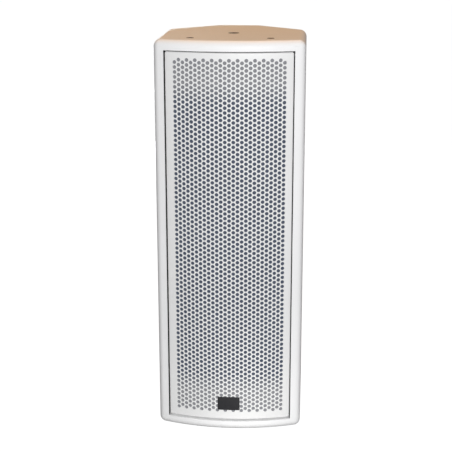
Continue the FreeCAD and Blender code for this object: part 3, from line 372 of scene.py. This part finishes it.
def make_materials():
    """One finished material for each slot of the record."""
    low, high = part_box("grille")
    zones = (low.z + UNSHADED_FOAM_END, high.z - UNSHADED_FOAM_END, CAVITY_SHADE_FADE)
    upper = middle_of("upper_woofer_cone")
    coal = (0.035, 0.035, 0.038)
    soot = (0.02, 0.02, 0.022)
    black = (0.02, 0.02, 0.02)
    plain = {}
    finishes = {
        "cabinet_paint": (textured_paint, (0.86, 0.86, 0.86), plain),
        "baffle_paint": (textured_paint, black, dict(grain=700, rough=0.7)),
        "plywood": (birch_ply, (0.66, 0.46, 0.26), plain),
        "grille_paint": (textured_paint, (0.78, 0.78, 0.775), dict(grain=1800, rough=0.45)),
        # the foam's dark colour is painted shade of the driver cavity behind its middle
        "grille_cloth": (grey_foam, (0.25, 0.255, 0.27),
                         dict(dark=(0.085, 0.10, 0.135), zones=zones)),
        "badge_black": (moulded_plastic, (0.022, 0.022, 0.024),
                        dict(rough=0.6, grain=3000, coarse=0.3, specular=0.2)),
        "cast_frame": (coated_metal, coal, plain),
        "plated_steel": (bare_metal, (0.55, 0.56, 0.58), plain),
        "black_steel": (coated_metal, (0.012, 0.012, 0.012),
                        dict(rough=0.8, grain=1500, bump=0.2, metallic=0.0, specular=0.0)),
        "ferrite": (sintered, coal, plain),
        "cone_paper": (pressed_paper, (0.03, 0.03, 0.033), dict(centre=upper)),
        "cap_paper": (pressed_paper, soot, dict(centre=upper, ribs=300.0)),
        "coil_copper": (wound_copper, (0.72, 0.32, 0.14), plain),
        "surround_cloth": (woven, soot, plain),
        "spider_cloth": (woven, (0.62, 0.42, 0.16), dict(threads=1100.0)),
        "seal_foam": (moulded_plastic, black, dict(rough=0.85, grain=1200, coarse=0.8)),
        "horn_plastic": (moulded_plastic, (0.025, 0.025, 0.028), dict(rough=0.5)),
        "driver_plate": (bare_metal, (0.28, 0.28, 0.30), dict(rough=0.4)),
        "dome_metal": (bare_metal, (0.75, 0.76, 0.78),
                       dict(rough=0.25, stretch=(1, 1, 1), scale=300, bump=0.1)),
        "driver_cap": (moulded_plastic, soot, dict(rough=0.4)),
        "circuit_board": (laminate, (0.012, 0.09, 0.035), plain),
        "film_can": (moulded_plastic, (0.55, 0.38, 0.06), dict(rough=0.3, grain=900, coarse=0.1)),
        "cement": (glazed, (0.75, 0.73, 0.66), plain),
        "spacer_nylon": (moulded_plastic, (0.7, 0.69, 0.64), dict(rough=0.4)),
        "port_plastic": (moulded_plastic, soot, plain),
        "plate_paint": (textured_paint, (0.8, 0.79, 0.76), dict(grain=1800)),
        "socket_plastic": (moulded_plastic, (0.018, 0.018, 0.02), dict(rough=0.4)),
        "contact_brass": (bare_metal, (0.72, 0.52, 0.2), dict(rough=0.3)),
        "wadding": (soft_fibre, (0.82, 0.82, 0.8), plain),
        "wire_sleeve": (moulded_plastic, (0.35, 0.02, 0.02),
                        dict(rough=0.35, grain=1500, coarse=0.2)),
    }
    return {slot: make(slot, colour, **settings)
            for slot, (make, colour, settings) in finishes.items()}


def dress_cad_nodes(materials):
    """Give every carried-over CAD node the finished material of its slot."""
    for row in frame["record"]["subparts"]:
        obj = frame["nodes"][row["node"]]
        obj.data.materials.clear()
        obj.data.materials.append(materials[row["material_slot"]])


# ---------------------------------------------------------------- mesh helpers

def place_mesh(name, mesh, material):
    """An object of a mesh that rides on the cabinet."""
    mesh.materials.append(material)
    obj = bpy.data.objects.new(name, mesh)
    scene.collection.objects.link(obj)
    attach(obj, "cabinet")
    return obj


def new_piece(name, vertices, faces, material):
    """An object made from points and faces that rides on the cabinet."""
    mesh = bpy.data.meshes.new(name)
    mesh.from_pydata(vertices, [], faces)
    mesh.update()
    return place_mesh(name, mesh, material)


def soften(obj, degrees=35):
    """Smooth shading, kept sharp where faces meet at more than an angle."""
    work = bmesh.new()
    work.from_mesh(obj.data)
    bmesh.ops.recalc_face_normals(work, faces=work.faces)
    limit = math.radians(degrees)
    for face in work.faces:
        face.smooth = True
    for edge in work.edges:
        edge.smooth = edge.is_manifold and edge.calc_face_angle(0) < limit
    work.to_mesh(obj.data)
    work.free()


# ---------------------------------------------------------------- perforated grille

GRILLE_SHEET = 1.2 * MM
FOLD_RADIUS = 2.2 * MM
FOLD_STEPS = 5
HOLE_PITCH = 8 * MM
HOLE_RADIUS = 3.1 * MM
HOLE_COLUMNS = 27
HOLE_ROWS = 76
HOLE_SIDES = 20
# the field of holes sits this far off the grille's middle
FIELD_RIGHT = 1 * MM
FIELD_LIFT = 2 * MM
FOAM_THICK = 3 * MM
# how near two places have to be, in metres or radians, to count as one
ON_EDGE = 1e-6
MERGE_DISTANCE = 1e-7
# marks a point that belongs to no hole
BORDER = -1


class Bow:
    """The curved front of the grille: an arc about an axis along Z."""

    def __init__(self):
        low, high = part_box("grille")
        foam_low, foam_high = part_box("grille_foam")
        half = foam_high.x
        apex = foam_low.y
        # the foam's sides end on its inner arc, so its box gives the radius
        drop = foam_high.y - apex - FOAM_THICK
        inner = (half * half + drop * drop) / (2 * drop)
        self.radius = inner + FOAM_THICK + GRILLE_SHEET
        self.apex = low.y
        self.axis_y = self.apex + self.radius
        self.half = high.x
        self.low = low.z
        self.high = high.z
        self.back = high.y

    def point(self, angle, z, depth=0.0):
        """A point on the front, or a depth behind it."""
        reach = self.radius - depth
        return Vector((reach * math.sin(angle), self.axis_y - reach * math.cos(angle), z))


def grille_outline(bow):
    """Angles and heights at which the flat face of the grille ends and its folds begin."""
    angle = math.asin((bow.half - FOLD_RADIUS) / (bow.radius - FOLD_RADIUS))
    return angle, bow.low + FOLD_RADIUS, bow.high - FOLD_RADIUS


def hole_centres(bow):
    """Angle and height of every hole: staggered columns across the bow."""
    middle = (bow.low + bow.high) / 2 + FIELD_LIFT
    step = HOLE_PITCH * math.sqrt(3) / 2
    for column in range(HOLE_COLUMNS):
        across = (column - (HOLE_COLUMNS - 1) / 2) * step + FIELD_RIGHT
        stagger = HOLE_PITCH / 4 * (1 if column % 2 else -1)
        for row in range(HOLE_ROWS):
            up = (row - (HOLE_ROWS - 1) / 2) * HOLE_PITCH + stagger
            yield across / bow.radius, middle + up


def perforated_face(bow):
    """Triangles of the flat face round its holes, as (angle, z) points and faces."""
    edge_angle, low, high = grille_outline(bow)
    points = []
    edges = []
    owner = []

    def loop(spots, mark):
        first = len(points)
        for index, spot in enumerate(spots):
            points.append(spot)
            owner.append(mark)
            edges.append((first + index, first + (index + 1) % len(spots)))

    # worked out flat, with lengths along the bow in place of angles
    scale = bow.radius
    edge = edge_angle * scale
    tall = high - low
    across = HOLE_COLUMNS + 3
    up = HOLE_ROWS + 3
    border = [(-edge + 2 * edge * step / across, low) for step in range(across)]
    border += [(edge, low + tall * step / up) for step in range(up)]
    border += [(edge - 2 * edge * step / across, high) for step in range(across)]
    border += [(-edge, high - tall * step / up) for step in range(up)]
    loop(border, BORDER)
    for mark, (angle, z) in enumerate(hole_centres(bow)):
        ring = []
        for side in range(HOLE_SIDES):
            turn = math.tau * side / HOLE_SIDES
            ring.append((angle * scale + HOLE_RADIUS * math.cos(turn),
                         z + HOLE_RADIUS * math.sin(turn)))
        loop(ring, mark)
    found = delaunay_2d_cdt([Vector(spot) for spot in points], edges, [], 1, MERGE_DISTANCE)
    spots, faces, sources = found[0], found[2], found[3]
    marks = [owner[ids[0]] if ids else BORDER for ids in sources]
    kept = []
    for face in faces:
        # a face whose corners all lie on one hole's ring is inside that hole
        holes = {marks[index] for index in face}
        if len(holes) == 1 and BORDER not in holes:
            continue
        kept.append(tuple(face))
    return [(spot.x / scale, spot.y) for spot in spots], kept


def thick_sheet(front, back, faces):
    """Close a sheet: front skin, back skin and a wall along every open edge."""
    count = len(front)
    # a dictionary, because it keeps the order in which the sides were found
    sides = {}
    for face in faces:
        for first, second in zip(face, face[1:] + face[:1]):
            sides[(first, second)] = True
    walls = []
    for first, second in sides:
        if (second, first) not in sides:
            walls.append((second, first, first + count, second + count))
    flipped = [tuple(index + count for index in reversed(face)) for face in faces]
    return front + back, list(faces) + flipped + walls


def make_grille(material):
    """Bowed sheet with round holes and folded rims, notched at the corners."""
    bow = Bow()
    spots, faces = perforated_face(bow)
    edge_angle, low, high = grille_outline(bow)
    front = [bow.point(angle, z) for angle, z in spots]
    back = [bow.point(angle, z, GRILLE_SHEET) for angle, z in spots]

    def chain(on_edge, sort_key):
        """Numbers of the points along one edge, in order."""
        ids = [index for index, spot in enumerate(spots) if on_edge(spot)]
        return sorted(ids, key=lambda index: sort_key(spots[index]))

    def add_strip(line, profile, flip):
        """Extend an edge chain along a profile of (front, back) makers."""
        previous = line
        for station in profile:
            current = []
            for index in line:
                angle, z = spots[index]
                front.append(station(angle, z, 0.0))
                back.append(station(angle, z, GRILLE_SHEET))
                current.append(len(front) - 1)
            for a, b, c, d in zip(previous, previous[1:], current[1:], current):
                faces.append((a, d, c, b) if flip else (a, b, c, d))
            previous = current

    def side_profile(side):
        """The fold and the rim down one side: 1 is right and -1 is left."""
        stations = []
        start = edge_angle
        for step in range(1, FOLD_STEPS + 1):
            turn = start + (math.pi / 2 - start) * step / FOLD_STEPS

            def fold(angle, z, depth, turn=turn):
                centre = bow.point(edge_angle, z, FOLD_RADIUS)
                reach = FOLD_RADIUS - depth
                return Vector((side * (centre.x + reach * math.sin(turn)),
                               centre.y - reach * math.cos(turn), z))
            stations.append(fold)

        def rim(angle, z, depth):
            return Vector((side * (bow.half - depth), bow.back, z))
        stations.append(rim)
        return stations

    def end_profile(side):
        """The fold and the rim along one end: 1 is the top and -1 is the foot."""
        stations = []
        edge = high if side > 0 else low
        for step in range(1, FOLD_STEPS + 1):
            turn = math.pi / 2 * step / FOLD_STEPS

            def fold(angle, z, depth, turn=turn):
                reach = FOLD_RADIUS - depth
                centre = bow.point(angle, edge, FOLD_RADIUS)
                outward = bow.point(angle, edge) - centre
                outward.normalize()
                return (centre + outward * reach * math.cos(turn)
                        + Vector((0, 0, side * reach * math.sin(turn))))
            stations.append(fold)

        def rim(angle, z, depth):
            reach = FOLD_RADIUS - depth
            spot = bow.point(angle, edge, FOLD_RADIUS)
            return Vector((spot.x, bow.back, edge + side * reach))
        stations.append(rim)
        return stations

    right = chain(lambda spot: abs(spot[0] - edge_angle) < ON_EDGE, lambda spot: spot[1])
    left = chain(lambda spot: abs(spot[0] + edge_angle) < ON_EDGE, lambda spot: spot[1])
    top = chain(lambda spot: abs(spot[1] - high) < ON_EDGE, lambda spot: spot[0])
    foot = chain(lambda spot: abs(spot[1] - low) < ON_EDGE, lambda spot: spot[0])
    add_strip(right, side_profile(1), True)
    add_strip(left, side_profile(-1), False)
    add_strip(top, end_profile(1), False)
    add_strip(foot, end_profile(-1), True)
    vertices, shell = thick_sheet(front, back, faces)
    grille = new_piece("perforated_grille", vertices, shell, material)
    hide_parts("grille")
    soften(grille)
    return grille


# ---------------------------------------------------------------- foam behind the grille

FOAM_COLUMNS = 60
FOAM_ROWS = 180
FOAM_DENTS = (0.1, 0.5)
FOAM_SEED = 7


def make_foam(material):
    """Thin bowed foam with an uneven open-celled face."""
    rng = random.Random(FOAM_SEED)
    bow = Bow()
    low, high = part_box("grille_foam")
    half = math.asin(low.x / -(bow.radius - GRILLE_SHEET))
    front = []
    back = []
    for row in range(FOAM_ROWS + 1):
        z = low.z + (high.z - low.z) * row / FOAM_ROWS
        for column in range(FOAM_COLUMNS + 1):
            angle = -half + 2 * half * column / FOAM_COLUMNS
            edge = row in (0, FOAM_ROWS) or column in (0, FOAM_COLUMNS)
            dent = 0 if edge else rng.uniform(*FOAM_DENTS) * MM
            front.append(bow.point(angle, z, GRILLE_SHEET + dent))
            back.append(bow.point(angle, z, GRILLE_SHEET + FOAM_THICK))
    faces = []
    width = FOAM_COLUMNS + 1
    for row in range(FOAM_ROWS):
        for column in range(FOAM_COLUMNS):
            first = row * width + column
            faces.append((first, first + 1, first + width + 1, first + width))
    vertices, shell = thick_sheet(front, back, faces)
    foam = new_piece("foam_sheet", vertices, shell, material)
    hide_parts("grille_foam")
    soften(foam, 60)
    return foam


# ---------------------------------------------------------------- small fittings

def islands(node):
    """Box of each separate shell in a CAD node's mesh."""
    work = bmesh.new()
    work.from_mesh(frame["nodes"][node].data)
    bmesh.ops.remove_doubles(work, verts=work.verts, dist=ON_EDGE)
    left = set(work.verts)
    boxes = []
    while left:
        stack = [left.pop()]
        shell = []
        while stack:
            vertex = stack.pop()
            shell.append(vertex.co.copy())
            for edge in vertex.link_edges:
                other = edge.other_vert(vertex)
                if other in left:
                    left.remove(other)
                    stack.append(other)
        low = Vector(min(spot[axis] for spot in shell) for axis in range(3))
        high = Vector(max(spot[axis] for spot in shell) for axis in range(3))
        boxes.append((low, high))
    work.free()
    return sorted(boxes, key=lambda box: (round(box[0].z, 4), round(box[0].x, 4)))


def spun(profile, place, steps=48, closed=True):
    """Rings of points round an axis; profile rows are (radius or radius of angle, along)."""
    vertices = []
    faces = []
    rows = len(profile)
    for radius, along in profile:
        for step in range(steps):
            angle = math.tau * step / steps
            reach = radius(angle) if callable(radius) else radius
            vertices.append(place(reach * math.cos(angle), reach * math.sin(angle), along))
    for row in range(rows if closed else rows - 1):
        for step in range(steps):
            after = (step + 1) % steps
            above = (row + 1) % rows
            faces.append((row * steps + step, row * steps + after,
                          above * steps + after, above * steps + step))
    if not closed:
        faces.append(tuple(range(steps))[::-1])
        faces.append(tuple((rows - 1) * steps + step for step in range(steps)))
    return vertices, faces


def joined(parts):
    """Put several (vertices, faces) together."""
    vertices = []
    faces = []
    for spots, loops in parts:
        start = len(vertices)
        vertices += spots
        faces += [tuple(index + start for index in loop) for loop in loops]
    return vertices, faces


# The lip stands round a sleeve's collar, and hides the cut edge of the paint.
LIP_HEIGHT = 0.28 * MM
LIP_WIDTH = 0.6 * MM
LIP_SLOPE = 0.1 * MM
COLLAR_DEPTH = 1.4 * MM
COLLAR_STEP = 0.4 * MM
SLEEVE_CHAMFER = 0.6 * MM
THREAD_DEPTH = 0.5 * MM
# shares of the pitch: where the crest ends, and where the root lies
THREAD_CREST = 0.25
THREAD_ROOT = 0.6


def make_inserts(node, name, core, pitch, material):
    """Threaded sleeves with a chamfered mouth and a thin lip."""
    parts = []
    for low, high in islands(node):
        centre = (low + high) / 2
        outer = (high.x - low.x) / 2
        top = high.z

        def place(x, y, along, centre=centre, top=top):
            return Vector((centre.x + x, centre.y + y, top - along))

        length = top - low.z
        barrel = outer - COLLAR_STEP
        mouth = core + SLEEVE_CHAMFER
        profile = [(outer - LIP_WIDTH - LIP_SLOPE, 0), (outer - LIP_WIDTH, -LIP_HEIGHT),
                   (outer, -LIP_HEIGHT), (outer, COLLAR_DEPTH),
                   (barrel, COLLAR_DEPTH + COLLAR_STEP), (barrel, length), (mouth, length)]
        groove = []
        for turn in range(int((length - SLEEVE_CHAMFER * 2) / pitch)):
            start = SLEEVE_CHAMFER + turn * pitch
            groove += [(core, start), (core, start + pitch * THREAD_CREST),
                       (core + THREAD_DEPTH, start + pitch * THREAD_ROOT)]
        profile += groove[::-1] + [(mouth, 0)]
        parts.append(spun(profile, place))
    vertices, faces = joined(parts)
    piece = new_piece(name, vertices, faces, material)
    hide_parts(node)
    soften(piece)
    return piece


def hexagon(across):
    """Radius of a hexagon, from its width across flats, for an angle."""
    def radius(angle):
        within = (angle % (math.pi / 3)) - math.pi / 6
        return across / 2 / math.cos(within)
    return radius


SCREW_HEAD = 1.4 * MM
SCREW_SHAFT = 1.4 * MM
SCREW_TIP = 0.8 * MM
SCREW_KEY = 2.0 * MM
SCREW_KEY_CENTRE = 0.05 * MM
SCREW_SIDES = 36
# degrees up the crown of the head, and how square the crown is
CROWN_TURNS = (12, 30, 50, 66)
CROWN_POWER = 0.6


def make_rear_screws(material):
    """Button-head screws with a hexagon socket."""
    parts = []
    key = hexagon(SCREW_KEY)
    for low, high in islands("input_plate_screws"):
        centre = (low + high) / 2
        outer = (high.x - low.x) / 2
        seat = high.y - SCREW_HEAD
        tail = low.y - seat

        def place(x, z, along, centre=centre, seat=seat):
            return Vector((centre.x + x, seat + along, centre.z + z))

        profile = [(SCREW_SHAFT * 0.3, tail), (SCREW_SHAFT, tail + SCREW_TIP), (SCREW_SHAFT, 0),
                   (outer * 0.96, 0), (outer, SCREW_HEAD * 0.12)]
        for degrees in CROWN_TURNS:
            turn = math.radians(degrees)
            profile.append((outer * math.cos(turn) ** CROWN_POWER, SCREW_HEAD * math.sin(turn)))
        profile += [(key, SCREW_HEAD), (key, SCREW_HEAD * 0.3),
                    (SCREW_KEY_CENTRE, SCREW_HEAD * 0.12)]
        parts.append(spun(profile, place, SCREW_SIDES, closed=False))
    vertices, faces = joined(parts)
    piece = new_piece("rear_screw_set", vertices, faces, material)
    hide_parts("input_plate_screws")
    soften(piece)
    return piece


BADGE_CORNER = 1.6 * MM
BADGE_BEVEL = 0.45 * MM
BADGE_SLICES = 16
# each rounded corner: its signs in x and z, and the degrees at which its arc starts
BADGE_CORNERS = ((1, 1, 0), (-1, 1, 90), (-1, -1, 180), (1, -1, 270))
CORNER_STEPS = 6


def make_badge(material):
    """Blank matt plate with rounded corners and a bevelled rim, bent to the grille's bow."""
    low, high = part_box("badge")
    bow = Bow()
    thick = bow.apex - low.y
    half_x = high.x
    half_z = (high.z - low.z) / 2
    middle = (high.z + low.z) / 2
    work = bmesh.new()
    outline = []
    for sign_x, sign_z, start in BADGE_CORNERS:
        for step in range(CORNER_STEPS + 1):
            turn = math.radians(start + 90 * step / CORNER_STEPS)
            outline.append(work.verts.new((
                sign_x * (half_x - BADGE_CORNER) + BADGE_CORNER * math.cos(turn), 0,
                sign_z * (half_z - BADGE_CORNER) + BADGE_CORNER * math.sin(turn))))
    rear = work.faces.new(outline)
    grown = bmesh.ops.extrude_face_region(work, geom=[rear])["geom"]
    front = [item for item in grown if isinstance(item, bmesh.types.BMVert)]
    bmesh.ops.translate(work, verts=front, vec=(0, -thick, 0))
    rim = [edge for edge in work.edges
           if all(abs(vertex.co.y + thick) < MERGE_DISTANCE for vertex in edge.verts)]
    bmesh.ops.bevel(work, geom=rim, offset=BADGE_BEVEL, segments=3, affect="EDGES", profile=0.6)
    for index in range(1, BADGE_SLICES):
        at = -half_x + 2 * half_x * index / BADGE_SLICES
        bmesh.ops.bisect_plane(work, geom=work.verts[:] + work.edges[:] + work.faces[:],
                               plane_co=(at, 0, 0), plane_no=(1, 0, 0))
    for vertex in work.verts:
        angle = math.asin(vertex.co.x / (bow.radius + thick))
        vertex.co = bow.point(angle, middle + vertex.co.z, vertex.co.y)
    mesh = bpy.data.meshes.new("blank_badge")
    work.to_mesh(mesh)
    work.free()
    badge = place_mesh("blank_badge", mesh, material)
    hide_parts("badge")
    soften(badge, 25)
    return badge


# the cabinet's bowed front edge, which the strip follows
CABINET_FRONT_RADIUS = 320 * MM
# size and set-back of the painted shadow strip in the gap round the grille
SHADOW_STRIP_THICK = 0.9 * MM
SHADOW_STRIP_SUNK = 1.6 * MM
SHADOW_STRIP_STEPS = 28


def make_gap_shadow_strip(material):
    """Thin dark strip down both sides and along the top of the opening, behind its front edge:
    painted shadow in the gap round the grille, covering the opening's white wall.
    """
    panel_low, panel_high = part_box("front_baffle")
    half, top = panel_high.x, panel_high.z
    inner = half - SHADOW_STRIP_THICK
    # each station is a point on the opening's wall and the one facing it
    stations = [((-half, panel_low.z), (-inner, panel_low.z))]
    for step in range(SHADOW_STRIP_STEPS + 1):
        share = 2 * step / SHADOW_STRIP_STEPS - 1
        stations.append(((share * half, top), (share * inner, top - SHADOW_STRIP_THICK)))
    stations.append(((half, panel_low.z), (inner, panel_low.z)))
    vertices = []
    for station in stations:
        for x, z in station:
            drop = CABINET_FRONT_RADIUS - math.sqrt(CABINET_FRONT_RADIUS ** 2 - x * x)
            vertices += [(x, cad_low.y + drop + SHADOW_STRIP_SUNK, z), (x, panel_low.y, z)]
    last = 4 * (len(stations) - 1)
    faces = [(0, 1, 3, 2), (last, last + 2, last + 3, last + 1)]
    for here in range(0, last, 4):
        for first, second in ((0, 2), (2, 3), (3, 1), (1, 0)):
            faces.append((here + first, here + second, here + 4 + second, here + 4 + first))
    # a strip of painted shadow that fills the gap round the grille with dark
    seal = new_piece("painted_gap_shadow", vertices, faces, material)
    soften(seal)
    return seal


BEVEL_WIDTH = 0.35 * MM
BEVEL_ANGLE = math.radians(50)


def bevel_edges(node):
    """Break the sharp edges of a CAD node with a modifier."""
    tool = frame["nodes"][node].modifiers.new("edge_break", "BEVEL")
    tool.width = BEVEL_WIDTH
    tool.segments = 2
    tool.limit_method = "ANGLE"
    tool.angle_limit = BEVEL_ANGLE


# ---------------------------------------------------------------- studio

FLOOR_REACH = 60.0
FLOOR_DROP = 0.2 * MM
WORLD_GREY = (0.16, 0.16, 0.16, 1)
WHITE = (1, 1, 1, 1)


def make_floor():
    """Plain white paper that glows, so warm light from above doesn't tint it."""
    signs = ((-1, -1), (1, -1), (1, 1), (-1, 1))
    corners = [(x * FLOOR_REACH, y * FLOOR_REACH, 0) for x, y in signs]
    mesh = bpy.data.meshes.new("floor")
    mesh.from_pydata(corners, [], [(0, 1, 2, 3)])
    floor = bpy.data.objects.new("floor", mesh)
    scene.collection.objects.link(floor)
    floor.location.z = cad_low.z - FLOOR_DROP
    floor.visible_diffuse = False
    floor.visible_glossy = False
    s = Shader("floor_paper")
    tone = s.mixed(s.ranged(s.noise(3, 3), 0, 1), (0.09, 0.09, 0.10), (0.10, 0.10, 0.11))
    paper = s.finish(tone, 0.9, s.bump(s.noise(300, 2), 0.05, 0.0005), Specular_IOR_Level=0.0,
                     Emission_Color=WHITE, Emission_Strength=1.0)
    floor.data.materials.append(paper)


def area_light(name, place, target, size, power, colour):
    """A square soft light aimed at a point."""
    data = bpy.data.lights.new(name, "AREA")
    data.shape = "SQUARE"
    data.size = size
    data.energy = power
    data.color = colour
    light = bpy.data.objects.new(name, data)
    scene.collection.objects.link(light)
    light.location = place
    light.rotation_mode = "QUATERNION"
    light.rotation_quaternion = (Vector(target) - Vector(place)).to_track_quat("-Z", "Y")


def make_world():
    """White to the camera; dim and neutral for the lighting."""
    world = bpy.data.worlds.new("studio")
    scene.world = world
    world.use_nodes = True
    tree = world.node_tree
    tree.nodes.clear()
    link = tree.links.new
    dim = tree.nodes.new("ShaderNodeBackground")
    dim.inputs["Color"].default_value = WORLD_GREY
    white = tree.nodes.new("ShaderNodeBackground")
    white.inputs["Color"].default_value = WHITE
    choose = tree.nodes.new("ShaderNodeMixShader")
    path = tree.nodes.new("ShaderNodeLightPath")
    link(path.outputs["Is Camera Ray"], choose.inputs[0])
    link(dim.outputs[0], choose.inputs[1])
    link(white.outputs[0], choose.inputs[2])
    output = tree.nodes.new("ShaderNodeOutputWorld")
    link(choose.outputs[0], output.inputs[0])


def make_studio():
    """Soft light from the camera's side, warm room light on the top and a weak light behind."""
    make_floor()
    middle = (cad_low + cad_high) / 2
    area_light("key", place=(0.4, -2.5, 1.05), target=middle, size=0.5, power=58,
               colour=(0.99, 0.99, 1.0))
    area_light("rear_fill", place=(-0.7, 2.4, 0.3), target=middle, size=1.0, power=30,
               colour=(1.0, 0.99, 0.97))
    # behind the front's plane, so it warms the top and leaves the front alone
    area_light("ceiling", place=(0, 0.65, 2.4), target=Vector((0, 0.03, cad_high.z)), size=0.8,
               power=17, colour=(1.0, 0.48, 0.082))
    area_light("table_bounce", place=(0.05, cad_low.y - 0.16, 0.02),
               target=Vector((0, cad_low.y, 0.03)), size=0.14, power=0.12,
               colour=(1.0, 1.0, 0.98))
    make_world()
    scene.view_settings.view_transform = "Standard"


# ---------------------------------------------------------------- assembly

make_camera()
make_studio()
materials = make_materials()
dress_cad_nodes(materials)
make_grille(materials["grille_paint"])
make_foam(materials["grille_cloth"])
# painted shadow in the gap between the grille and the cabinet's opening
make_gap_shadow_strip(materials["seal_foam"])
make_badge(materials["badge_black"])
make_inserts("rigging_inserts", "rigging_sleeves", core=3.4 * MM, pitch=1.25 * MM,
             material=materials["black_steel"])
make_inserts("hoist_insert", "hoist_sleeve", core=4.25 * MM, pitch=1.5 * MM,
             material=materials["black_steel"])
make_rear_screws(materials["black_steel"])
for node in ("input_plate", "upper_input_socket", "lower_input_socket"):
    bevel_edges(node)
